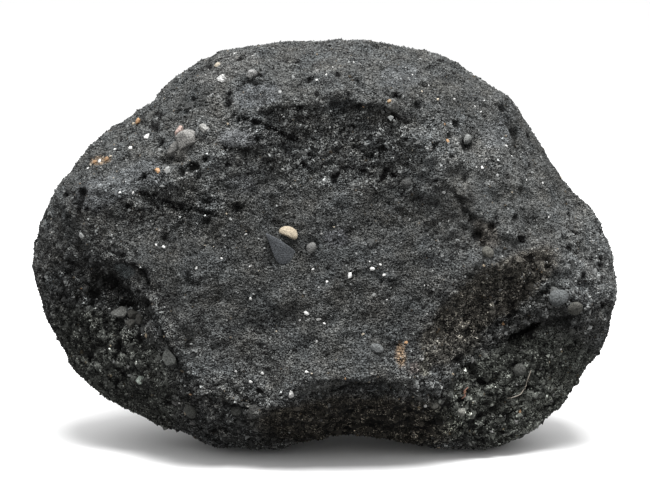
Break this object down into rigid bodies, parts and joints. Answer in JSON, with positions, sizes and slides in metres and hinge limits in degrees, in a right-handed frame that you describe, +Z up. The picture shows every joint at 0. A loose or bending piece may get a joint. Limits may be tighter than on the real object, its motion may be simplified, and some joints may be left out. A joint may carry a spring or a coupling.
{
  "type": "lava rock",
  "caption": "Dark grey lava rock with a broad hollowed face, an overhanging brow and an undercut foot, resting on a small flat.",
  "frame": {"origin": "on the ground, under the middle of the stone's bounding box", "axes": "+Z up from the ground, X along the stone's longest side, the broad hollowed face towards -Y"},
  "size_m": [0.1798, 0.1036, 0.1257],
  "materials": {
    "lava": "dull, rough, granular broken rock, with pale specks and a few baked-in stones"
  },
  "bodies": {
    "root": {"lava_rock": "lava"}
  },
  "joints": []
}
